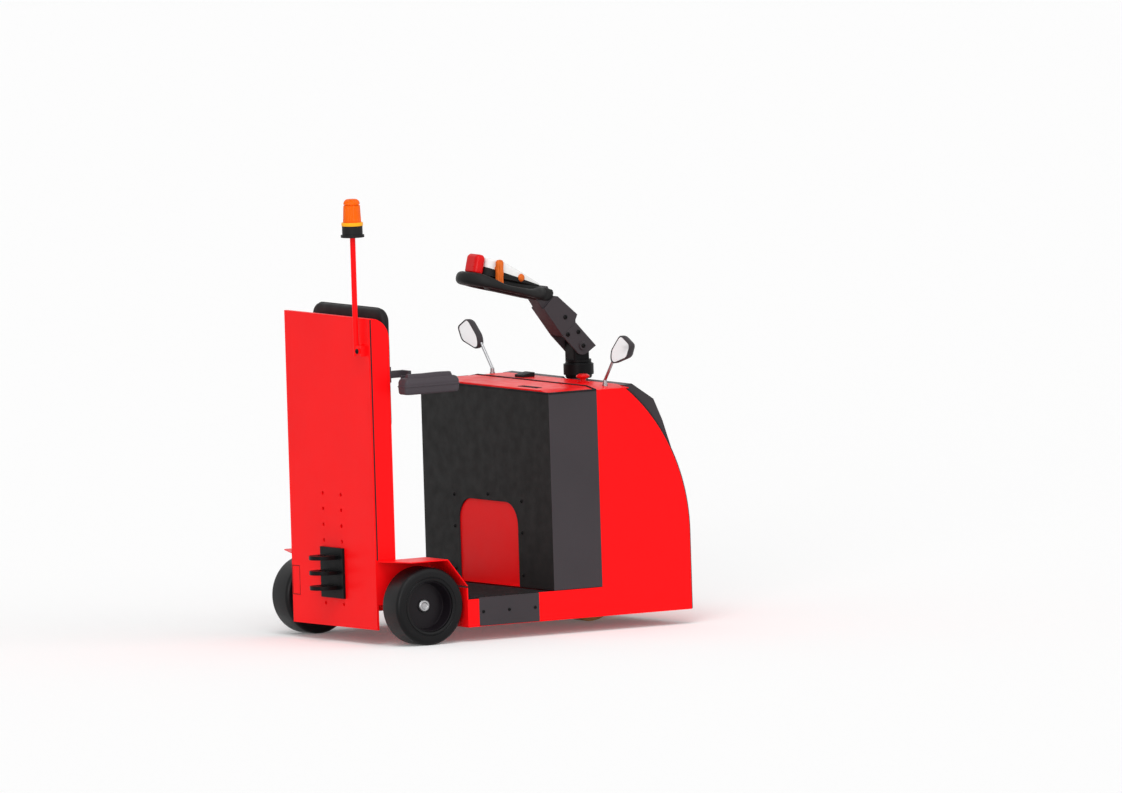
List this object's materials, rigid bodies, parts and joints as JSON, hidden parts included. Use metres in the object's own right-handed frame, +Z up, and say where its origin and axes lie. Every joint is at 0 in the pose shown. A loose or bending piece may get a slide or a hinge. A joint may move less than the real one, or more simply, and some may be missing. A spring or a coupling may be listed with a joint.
{
  "type": "stand-on tow tractor",
  "caption": "Stand-on electric baggage tug with a low platform, boxed front console on a steered drive wheel, padded backrest column, tiller, mirrors, beacon pole and a jaw coupler.",
  "frame": {"origin": "middle of the bounding box in plan, on the floor", "axes": "+X forward, away from the coupler; +Y to the tug's left; +Z up"},
  "size_m": [1.236, 1.082, 1.479],
  "materials": {
    "red_paint": "gloss powder coat",
    "black_plastic": "matte grain",
    "dark_plastic": "matte grain",
    "mat_rubber": "ribbed",
    "cushion_cover": "grained vinyl",
    "black_cast": "black paint on casting",
    "dark_steel": "satin paint",
    "black_tyre": "solid rubber",
    "hub_paint": "satin paint",
    "tan_tyre": "polyurethane",
    "bare_steel": "brushed",
    "mirror_glass": "silvered",
    "lamp_glass": "clear ribbed",
    "amber_lens": "clear amber",
    "battery_case": "moulded case",
    "motor_iron": "cast and machined",
    "pale_plastic": "satin",
    "red_plastic": "gloss",
    "orange_plastic": "satin"
  },
  "bodies": {
    "chassis": {"chassis": "red_paint", "platform_mat": "mat_rubber", "kick_plates": "dark_plastic", "fenders": "red_paint", "tow_plate": "red_paint", "access_cover": "red_paint", "backrest_column": "red_paint", "backrest_cushion": "cushion_cover", "rear_axle": "red_paint", "coupler": "black_cast", "armrest_brackets": "dark_steel", "armrest_pad_left": "cushion_cover", "armrest_pad_right": "cushion_cover", "beacon_pole": "red_paint", "beacon_base": "black_plastic", "beacon_lens": "amber_lens", "console_cover": "black_plastic", "knee_panel": "red_paint", "console_lid": "red_paint", "front_deck": "red_paint", "instrument_panel": "black_plastic", "stop_button": "red_plastic", "side_panels": "red_paint", "front_hood": "red_paint", "bonnet_cover": "dark_plastic", "headlamps": "lamp_glass", "battery": "battery_case", "turret_bridge": "dark_steel", "column_collar": "black_cast", "mirror_stalks": "bare_steel", "mirror_housings": "dark_plastic", "mirror_glasses": "mirror_glass"},
    "steering": {"drive_yoke": "dark_steel", "drive_motor": "motor_iron", "steering_shaft": "black_cast"},
    "drive_wheel": {"drive_tyre": "tan_tyre", "drive_core": "bare_steel"},
    "tiller": {"tiller_bracket": "dark_plastic", "tiller_arm": "dark_plastic", "tiller_head": "black_plastic", "head_cover": "pale_plastic", "belly_button": "red_plastic", "throttle_wings": "orange_plastic"},
    "wheel_left": {"rear_tyre_left": "black_tyre", "rear_hub_left": "hub_paint", "hub_cap_left": "bare_steel"},
    "wheel_right": {"rear_tyre_right": "black_tyre", "rear_hub_right": "hub_paint", "hub_cap_right": "bare_steel"}
  },
  "joints": [
    {"name": "steer", "type": "hinge", "parent": "chassis", "child": "steering", "pos_m": [0.443, 0, 0.308], "axis": [0, 0, 1], "range_deg": [-80, 80]},
    {"name": "tiller_tilt", "type": "hinge", "parent": "steering", "child": "tiller", "pos_m": [0.437, 0, 0.913], "axis": [0, 1, 0], "range_deg": [-12, 35]},
    {"name": "drive_spin", "type": "hinge", "parent": "steering", "child": "drive_wheel", "pos_m": [0.443, 0, 0.115], "axis": [0, 1, 0], "continuous": true},
    {"name": "wheel_left_spin", "type": "hinge", "parent": "chassis", "child": "wheel_left", "pos_m": [-0.404, 0.346, 0.129], "axis": [0, 1, 0], "continuous": true},
    {"name": "wheel_right_spin", "type": "hinge", "parent": "chassis", "child": "wheel_right", "pos_m": [-0.404, -0.346, 0.129], "axis": [0, 1, 0], "continuous": true}
  ]
}
